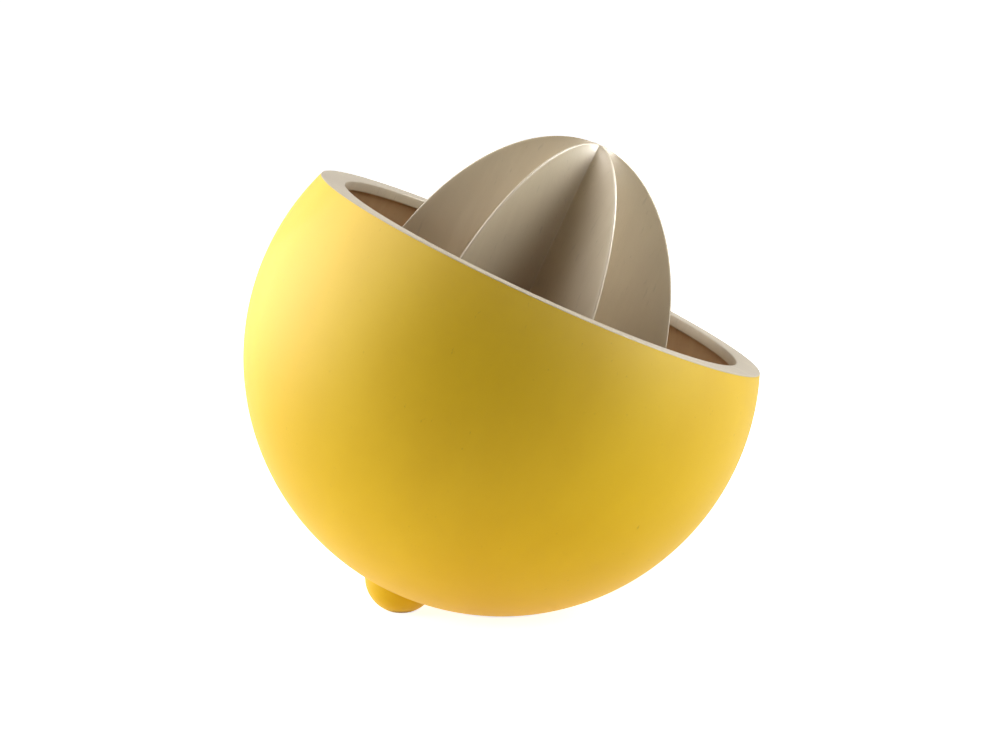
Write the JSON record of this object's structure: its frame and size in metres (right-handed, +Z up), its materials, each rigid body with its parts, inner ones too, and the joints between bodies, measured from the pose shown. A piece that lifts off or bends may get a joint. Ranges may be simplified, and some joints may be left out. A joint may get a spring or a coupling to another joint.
{
  "type": "citrus reamer",
  "caption": "Ball-shaped wooden citrus squeezer: a leaning bowl, yellow outside, with a pale rim ring, a small nub that it leans on and a fluted reamer that lifts out of its floor.",
  "frame": {"origin": "middle of the small flat under the ball that the bowl stands on", "axes": "+Z up from the table, +X the way the bowl leans (towards the low side of the rim), nub at -X"},
  "size_m": [0.1199, 0.12, 0.1114],
  "materials": {
    "yellow_lacquer": "matt yellow lacquer on turned wood",
    "pale_wood": "pale fine-grained wood, sanded and sealed matt",
    "inner_wood": "the same pale wood unsanded inside the bowl, a little browner",
    "dowel_wood": "plain beech dowel",
    "seal_rubber": "translucent white silicone, matt"
  },
  "bodies": {
    "bowl": {"bowl_shell": "yellow_lacquer", "bowl_liner": "inner_wood", "rim_ring": "pale_wood", "nub_foot": "yellow_lacquer"},
    "reamer": {"reamer_head": "pale_wood", "reamer_spigot": "dowel_wood", "seal_ring": "seal_rubber", "drive_pins": "dowel_wood"}
  },
  "joints": [
    {"name": "reamer_lift", "type": "slide", "parent": "bowl", "child": "reamer", "axis": [0.4148, 0, 0.9099], "range_m": [0, 0.08]}
  ]
}
